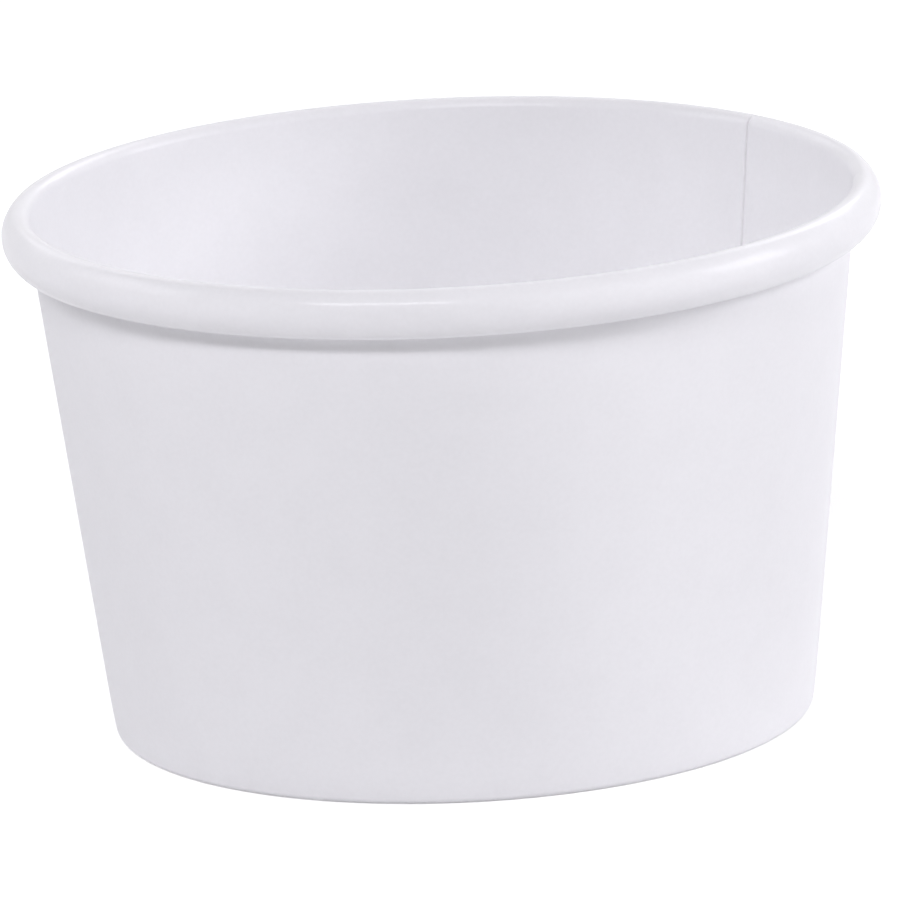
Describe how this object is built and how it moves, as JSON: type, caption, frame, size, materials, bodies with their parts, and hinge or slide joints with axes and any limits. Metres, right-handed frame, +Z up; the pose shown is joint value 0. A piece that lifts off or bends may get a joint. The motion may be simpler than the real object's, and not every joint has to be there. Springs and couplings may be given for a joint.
{
  "type": "paper soup container",
  "caption": "Round tapered cup of white coated paperboard with a rolled rim, a lapped side seam and a recessed bottom disc held in a folded hem.",
  "frame": {"origin": "centre of the base, on the table under the hem's fold", "axes": "+Z up along the cup's axis, out of the mouth; +Y away from the camera, so that the side seam is at the back right, between +X and +Y"},
  "size_m": [0.098, 0.098, 0.06],
  "materials": {
    "wall_board": "white coated paperboard, soft satin",
    "disc_board": "white coated paperboard, soft satin"
  },
  "bodies": {
    "root": {"sidewall": "wall_board", "bottom_disc": "disc_board"}
  },
  "joints": []
}
